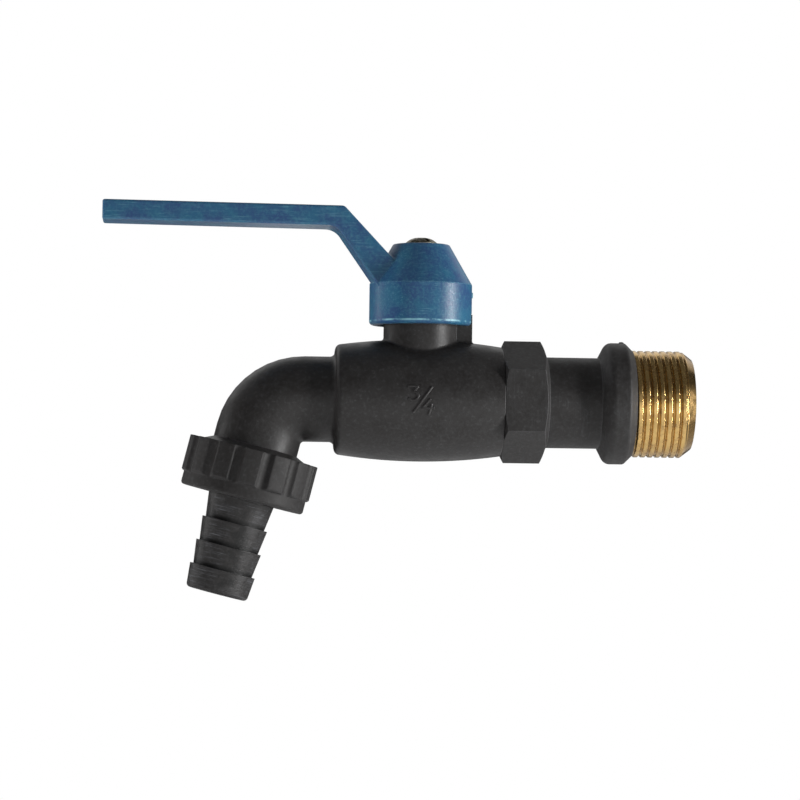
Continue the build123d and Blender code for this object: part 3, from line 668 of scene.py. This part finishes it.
def make_lamp(name, azimuth, elevation, distance, width, height, power, mirrored):
    """Soft rectangular lamp that looks at the middle of the tap; mirrored says if gloss shows it."""
    data = bpy.data.lights.new(name, "AREA")
    data.shape = "RECTANGLE"
    data.size, data.size_y = width, height
    data.energy = power
    lamp = bpy.data.objects.new(name, data)
    bpy.context.scene.collection.objects.link(lamp)
    away = direction(azimuth, elevation)
    lamp.location = CAMERA_TARGET + away * distance
    lamp.rotation_mode = "QUATERNION"
    lamp.rotation_quaternion = (-away).to_track_quat("-Z", "Y")
    lamp.visible_camera = False
    lamp.visible_glossy = mirrored


def seen_white(nodes, links):
    """1 for rays that should see the plain white background: camera, glossy and transmission rays."""
    path = nodes.new("ShaderNodeLightPath")
    total = path.outputs["Is Camera Ray"]
    for name in ("Is Glossy Ray", "Is Transmission Ray"):
        add = nodes.new("ShaderNodeMath")
        add.operation = "MAXIMUM"
        links.new(total, add.inputs[0])
        links.new(path.outputs[name], add.inputs[1])
        total = add.outputs[0]
    return total


def make_stage_piece(name, points, faces, material):
    """A piece of the studio, which is no part of the tap."""
    mesh = bpy.data.meshes.new(name)
    mesh.from_pydata(points, [], faces)
    mesh.materials.append(material)
    piece = bpy.data.objects.new(name, mesh)
    bpy.context.scene.collection.objects.link(piece)
    return piece


def make_floor():
    """Pale floor that keeps the shadow near the tap and fades to white further out."""
    material = bpy.data.materials.new("floor_pale")
    material.use_nodes = True
    nodes, links = material.node_tree.nodes, material.node_tree.links
    shader = nodes["Principled BSDF"]
    shader.inputs["Base Color"].default_value = (*FLOOR_PALE, 1)
    shader.inputs["Roughness"].default_value = 0.9
    white = nodes.new("ShaderNodeEmission")
    place = nodes.new("ShaderNodeTexCoord")
    reach = nodes.new("ShaderNodeVectorMath")
    reach.operation = "LENGTH"
    links.new(place.outputs["Object"], reach.inputs[0])
    far = nodes.new("ShaderNodeMapRange")
    far.interpolation_type = "SMOOTHSTEP"
    far.inputs["From Min"].default_value = FLOOR_FADE[0]
    far.inputs["From Max"].default_value = FLOOR_FADE[1]
    links.new(reach.outputs["Value"], far.inputs["Value"])
    share = nodes.new("ShaderNodeMath")
    share.operation = "MULTIPLY"
    links.new(far.outputs["Result"], share.inputs[0])
    links.new(seen_white(nodes, links), share.inputs[1])
    mix = nodes.new("ShaderNodeMixShader")
    links.new(share.outputs[0], mix.inputs["Fac"])
    links.new(shader.outputs[0], mix.inputs[1])
    links.new(white.outputs[0], mix.inputs[2])
    links.new(mix.outputs[0], nodes["Material Output"].inputs["Surface"])
    half = FLOOR_SIZE / 2
    points = [(-half, -half, 0), (half, -half, 0), (half, half, 0), (-half, half, 0)]
    floor = make_stage_piece("floor", points, [(0, 1, 2, 3)], material)
    floor.location = (CAMERA_TARGET.x, 0, FLOOR_Z)


def make_tent():
    """Dark cards over, beside and behind the tap, unseen by the camera, that keep its outer edges dark."""
    material = bpy.data.materials.new("card_dark")
    material.use_nodes = True
    shader = material.node_tree.nodes["Principled BSDF"]
    shader.inputs["Base Color"].default_value = (*CARD_DARK, 1)
    shader.inputs["Roughness"].default_value = 1.0
    shader.inputs["Specular IOR Level"].default_value = 0.0
    half, inner = TENT_HALF_WIDTH, TENT_WING_INNER
    points = [(x, y, z) for y, z in TENT_PROFILE for x in (-half, half)]
    faces = [(2 * i, 2 * i + 1, 2 * i + 3, 2 * i + 2) for i in range(len(TENT_PROFILE) - 1)]
    for side in (-1, 1):
        first = len(points)
        points += [(side * half, TENT_BACK_Y, z) for z in (TENT_BACK_Z, FLOOR_Z)]
        points.append((side * half, TENT_PROFILE[0][0], FLOOR_Z))
        points += [(side * inner, TENT_BACK_Y, z) for z in (TENT_BACK_Z, FLOOR_Z)]
        wall = [2 * i + (side > 0) for i in range(len(TENT_PROFILE))]
        faces += [(*wall, first, first + 1, first + 2), (first, first + 3, first + 4, first + 1)]
    tent = make_stage_piece("tent", points, faces, material)
    tent.location = (CAMERA_TARGET.x, 0, 0)
    tent.visible_camera = False


def make_world():
    """White to the camera and in mirrors; a soft grey light on the object."""
    world = bpy.data.worlds.new("studio")
    bpy.context.scene.world = world
    world.use_nodes = True
    nodes, links = world.node_tree.nodes, world.node_tree.links
    light = nodes["Background"]
    light.inputs["Color"].default_value = (*WORLD_GREY, 1)
    white = nodes.new("ShaderNodeBackground")
    white.inputs["Color"].default_value = (*WORLD_WHITE, 1)
    mix = nodes.new("ShaderNodeMixShader")
    links.new(seen_white(nodes, links), mix.inputs["Fac"])
    links.new(light.outputs[0], mix.inputs[1])
    links.new(white.outputs[0], mix.inputs[2])
    links.new(mix.outputs[0], nodes["World Output"].inputs["Surface"])


dress()
make_camera()
make_floor()
make_tent()
make_world()
for lamp in LAMPS:
    make_lamp(*lamp)
bpy.context.scene.view_settings.view_transform = "Standard"
